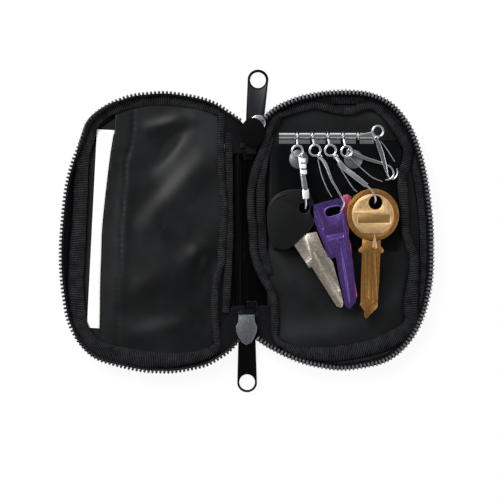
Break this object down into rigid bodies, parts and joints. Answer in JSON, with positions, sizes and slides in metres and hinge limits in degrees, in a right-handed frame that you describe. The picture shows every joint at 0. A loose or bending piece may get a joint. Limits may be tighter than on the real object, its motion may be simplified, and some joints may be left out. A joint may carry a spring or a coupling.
{
  "type": "key case",
  "caption": "Zip-round soft key case, opened flat: spine, two padded covers with bound seams, zip halves and sliders, slip pocket with a card, bar with spring key hooks holding plain keys.",
  "frame": {"origin": "Middle of the spine's outer face, where the open case lies on a table.", "axes": "+X runs across the open case from the left cover to the right cover, +Y along the spine towards the end whose slider has a cloth cover, +Z out of the inside of the case."},
  "size_m": [0.161, 0.1377, 0.0116],
  "materials": {
    "outer_cloth": "woven polyester, matt",
    "board": "plain",
    "foam": "open foam sheet",
    "satin_lining": "satin weave, soft sheen",
    "pocket_satin": "satin weave, soft sheen",
    "binding": "ribbed tape",
    "zip_tape": "woven tape",
    "zip_teeth": "moulded nylon",
    "card_stock": "smooth",
    "chrome": "polished plating",
    "rod_steel": "drawn wire",
    "rivet_steel": "tumbled",
    "slider_zinc": "die cast, fine speckle",
    "tab_satin": "satin enamel",
    "tab_gloss": "gloss enamel",
    "hook_nickel": "nickel plated wire and strap",
    "bow_plastic": "fine spark grain",
    "blade_nickel": "nickel silver, ground",
    "purple_anodised": "anodised",
    "pink_anodised": "anodised",
    "brass": "stamped, tumbled"
  },
  "bodies": {
    "spine": {"spine_outer_panel": "outer_cloth", "spine_board": "board", "spine_lining": "satin_lining", "cross_seam_bindings": "binding", "spine_fold_binding": "binding", "zip_ends": "zip_tape", "zip_end_cover": "binding", "left_zip_run": "zip_teeth", "right_zip_run": "zip_teeth"},
    "left_cover": {"left_outer_panel": "outer_cloth", "left_foam": "foam", "left_lining": "satin_lining", "left_zip_tape": "zip_tape", "left_zip_teeth": "zip_teeth", "left_binding": "binding", "pocket_panel": "pocket_satin", "card": "card_stock"},
    "right_cover": {"right_outer_panel": "outer_cloth", "right_foam": "foam", "right_lining": "satin_lining", "right_zip_tape": "zip_tape", "right_zip_teeth": "zip_teeth", "right_binding": "binding", "key_patch": "satin_lining", "key_bar": "chrome", "bar_rod": "rod_steel", "rivets": "rivet_steel", "rivet_washers": "rivet_steel"},
    "slider_top": {"top_slider": "slider_zinc"},
    "slider_bottom": {"bottom_slider": "slider_zinc"},
    "tab_top": {"top_pull_tab": "tab_satin"},
    "tab_bottom": {"bottom_pull_tab": "tab_gloss"},
    "key_link_1": {"link_1": "hook_nickel"},
    "key_hook_1": {"hook_1": "hook_nickel"},
    "key_gate_1": {"gate_1": "hook_nickel"},
    "key_link_2": {"link_2": "hook_nickel"},
    "key_hook_2": {"hook_2": "hook_nickel"},
    "key_gate_2": {"gate_2": "hook_nickel"},
    "key_link_3": {"link_3": "hook_nickel"},
    "key_hook_3": {"hook_3": "hook_nickel"},
    "key_gate_3": {"gate_3": "hook_nickel"},
    "key_link_4": {"link_4": "hook_nickel"},
    "key_hook_4": {"hook_4": "hook_nickel"},
    "key_gate_4": {"gate_4": "hook_nickel"},
    "key_link_5": {"link_5": "hook_nickel"},
    "key_hook_5": {"hook_5": "hook_nickel"},
    "key_gate_5": {"gate_5": "hook_nickel"},
    "black_key": {"black_key_bow": "bow_plastic", "black_key_blade": "blade_nickel"},
    "purple_blank": {"purple_key": "purple_anodised"},
    "pink_blank": {"pink_key": "pink_anodised"},
    "brass_blank": {"brass_key": "brass"}
  },
  "joints": [
    {"name": "left_cover_fold", "type": "hinge", "parent": "spine", "child": "left_cover", "pos_m": [-0.007, 0, 0.0024], "axis": [0, 1, 0], "range_deg": [0, 90], "deforming": ["left_zip_run"]},
    {"name": "right_cover_fold", "type": "hinge", "parent": "spine", "child": "right_cover", "pos_m": [0.007, 0, 0.0024], "axis": [0, -1, 0], "range_deg": [0, 90], "deforming": ["right_zip_run", "spine_fold_binding", "zip_end_cover"]},
    {"name": "top_slider_travel", "type": "hinge", "parent": "spine", "child": "slider_top", "pos_m": [0, 0.0422, 0.0223], "axis": [-1, 0, 0], "range_deg": [-90, 0]},
    {"name": "bottom_slider_travel", "type": "hinge", "parent": "spine", "child": "slider_bottom", "pos_m": [0, -0.0422, 0.0223], "axis": [1, 0, 0], "range_deg": [-90, 0]},
    {"name": "top_pull_tab_swing", "type": "hinge", "parent": "slider_top", "child": "tab_top", "pos_m": [0.0004, 0.0422, 0.002], "axis": [-0.9962, 0.0872, 0], "range_deg": [0, 150]},
    {"name": "bottom_pull_tab_swing", "type": "hinge", "parent": "slider_bottom", "child": "tab_bottom", "pos_m": [-0.0004, -0.0422, 0.002], "axis": [1, 0, 0], "range_deg": [0, 150]},
    {"name": "link_1_swing", "type": "hinge", "parent": "right_cover", "child": "key_link_1", "pos_m": [0.0201, 0.0409, 0.0046], "axis": [1, 0, 0], "range_deg": [-100, 0]},
    {"name": "link_2_swing", "type": "hinge", "parent": "right_cover", "child": "key_link_2", "pos_m": [0.0266, 0.0409, 0.0046], "axis": [1, 0, 0], "range_deg": [-100, 0]},
    {"name": "link_3_swing", "type": "hinge", "parent": "right_cover", "child": "key_link_3", "pos_m": [0.0331, 0.0409, 0.0046], "axis": [1, 0, 0], "range_deg": [-100, 0]},
    {"name": "link_4_swing", "type": "hinge", "parent": "right_cover", "child": "key_link_4", "pos_m": [0.0396, 0.0409, 0.0046], "axis": [1, 0, 0], "range_deg": [-100, 0]},
    {"name": "link_5_swing", "type": "hinge", "parent": "right_cover", "child": "key_link_5", "pos_m": [0.0461, 0.0409, 0.0046], "axis": [1, 0, 0], "range_deg": [-50, 0]},
    {"name": "hook_1_lift", "type": "hinge", "parent": "key_link_1", "child": "key_hook_1", "pos_m": [0.02024, 0.03197, 0.0074], "axis": [0.9982, 0.0593, 0], "range_deg": [-30, 0]},
    {"name": "hook_2_lift", "type": "hinge", "parent": "key_link_2", "child": "key_hook_2", "pos_m": [0.02837, 0.03231, 0.0077], "axis": [0.9449, 0.3272, 0], "range_deg": [-45, 0]},
    {"name": "hook_3_lift", "type": "hinge", "parent": "key_link_3", "child": "key_hook_3", "pos_m": [0.03562, 0.03274, 0.0077], "axis": [0.7581, 0.6521, 0], "range_deg": [-38, 0]},
    {"name": "hook_4_lift", "type": "hinge", "parent": "key_link_4", "child": "key_hook_4", "pos_m": [0.043, 0.03286, 0.0064], "axis": [0.5299, 0.848, 0], "range_deg": [-45, 0]},
    {"name": "hook_5_lift", "type": "hinge", "parent": "key_link_5", "child": "key_hook_5", "pos_m": [0.05516, 0.04047, 0.00725], "axis": [0.9272, 0.3746, 0], "range_deg": [-45, 0]},
    {"name": "gate_1_press", "type": "hinge", "parent": "key_hook_1", "child": "key_gate_1", "pos_m": [0.0204, 0.02928, 0.0062], "axis": [-0.9982, -0.0593, 0], "range_deg": [0, 2], "stiffness_Nm_per_rad": 0.0004},
    {"name": "gate_2_press", "type": "hinge", "parent": "key_hook_2", "child": "key_gate_2", "pos_m": [0.02925, 0.02976, 0.0065], "axis": [-0.9449, -0.3272, 0], "range_deg": [0, 2], "stiffness_Nm_per_rad": 0.0004},
    {"name": "gate_3_press", "type": "hinge", "parent": "key_hook_3", "child": "key_gate_3", "pos_m": [0.03738, 0.03069, 0.0065], "axis": [-0.7581, -0.6521, 0], "range_deg": [0, 2], "stiffness_Nm_per_rad": 0.0004},
    {"name": "gate_4_press", "type": "hinge", "parent": "key_hook_4", "child": "key_gate_4", "pos_m": [0.04439, 0.02999, 0.0053], "axis": [0, 0, 1], "range_deg": [0, 8], "stiffness_Nm_per_rad": 0.0004},
    {"name": "gate_5_press", "type": "hinge", "parent": "key_hook_5", "child": "key_gate_5", "pos_m": [0.05775, 0.0386, 0.0049], "axis": [0, 0, -1], "range_deg": [0, 8], "stiffness_Nm_per_rad": 0.0004},
    {"name": "black_key_swing", "type": "hinge", "parent": "key_hook_1", "child": "black_key", "pos_m": [0.0214, 0.0106, 0.0084], "axis": [0, 0, 1], "range_deg": [-10, 0]},
    {"name": "purple_key_swing", "type": "hinge", "parent": "key_hook_2", "child": "purple_blank", "pos_m": [0.0352, 0.0084, 0.009], "axis": [0, 0, 1], "range_deg": [0, 1]},
    {"name": "pink_key_swing", "type": "hinge", "parent": "key_hook_2", "child": "pink_blank", "pos_m": [0.0352, 0.0084, 0.0072], "axis": [0, 0, 1], "range_deg": [0, 6]},
    {"name": "brass_key_swing", "type": "hinge", "parent": "key_hook_3", "child": "brass_blank", "pos_m": [0.0532, 0.0123, 0.0089], "axis": [0, 0, 1], "range_deg": [0, 6]}
  ]
}
